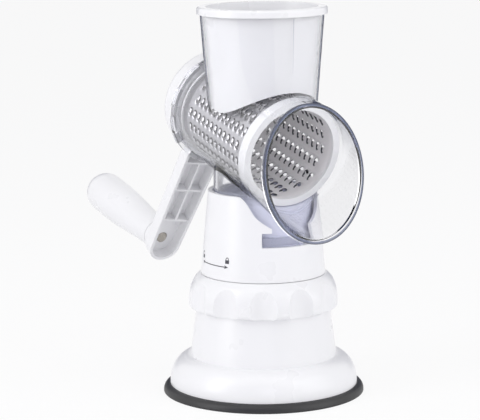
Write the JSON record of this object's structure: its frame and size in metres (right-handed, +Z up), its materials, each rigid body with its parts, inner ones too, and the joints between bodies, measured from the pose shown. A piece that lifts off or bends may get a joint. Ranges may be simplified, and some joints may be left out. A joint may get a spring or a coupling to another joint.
{
  "type": "rotary cabbage shredder",
  "caption": "Hand-cranked drum shredder: a clear hopper and slanted outlet over a tilted steel drum, on a white suction foot with a twist lock and a white pusher.",
  "frame": {"origin": "centre of the suction pad's underside, on the worktop", "axes": "+Z up; -Y the way the outlet faces; the crank is on the +Y side"},
  "size_m": [0.125, 0.2627, 0.2396],
  "materials": {
    "black_rubber": "satin",
    "white_plastic": "gloss",
    "clear_plastic": "gloss",
    "stainless": "satin",
    "steel": "satin"
  },
  "bodies": {
    "base": {"suction_pad": "black_rubber", "base_bell": "white_plastic", "glide_washer": "white_plastic", "tower": "white_plastic", "tower_screws": "steel"},
    "ring": {"lock_ring": "white_plastic"},
    "stem": {"suction_stem": "white_plastic", "cross_pin": "steel"},
    "housing": {"clear_housing": "clear_plastic", "rear_bearing": "white_plastic"},
    "pusher_cup": {"pusher": "white_plastic"},
    "crank_drive": {"crank": "white_plastic", "drive_hub": "white_plastic", "hub_screw": "steel", "hub_cover": "white_plastic", "drum_hub": "white_plastic", "drum_screen": "stainless", "drum_front_ring": "white_plastic", "knob_spindle": "steel", "push_nut": "steel"},
    "knob": {"knob_sleeve": "white_plastic", "knob_plug": "white_plastic"}
  },
  "joints": [
    {"name": "lock_ring_turn", "type": "hinge", "parent": "base", "child": "ring", "pos_m": [0, 0, 0.0647], "axis": [0, 0, 1], "range_deg": [0, 40]},
    {"name": "suction_lift", "type": "slide", "parent": "base", "child": "stem", "axis": [0, 0, 1], "range_m": [0, 0.003]},
    {"name": "housing_twist", "type": "hinge", "parent": "base", "child": "housing", "pos_m": [0, 0, 0.11], "axis": [0, 0, 1], "range_deg": [0, 10]},
    {"name": "pusher_lift", "type": "slide", "parent": "housing", "child": "pusher_cup", "axis": [0, 0, 1], "range_m": [0, 0.07]},
    {"name": "crank_turn", "type": "hinge", "parent": "housing", "child": "crank_drive", "pos_m": [0, 0, 0.1605], "axis": [0, -0.9728, -0.2317], "continuous": true},
    {"name": "knob_spin", "type": "hinge", "parent": "crank_drive", "child": "knob", "pos_m": [-0.01344, 0.11219, 0.08225], "axis": [0, -0.9728, -0.2317], "continuous": true}
  ],
  "couplings": [
    {"joint": "suction_lift", "follows": "lock_ring_turn", "m_per_rad": 0.0042972}
  ]
}
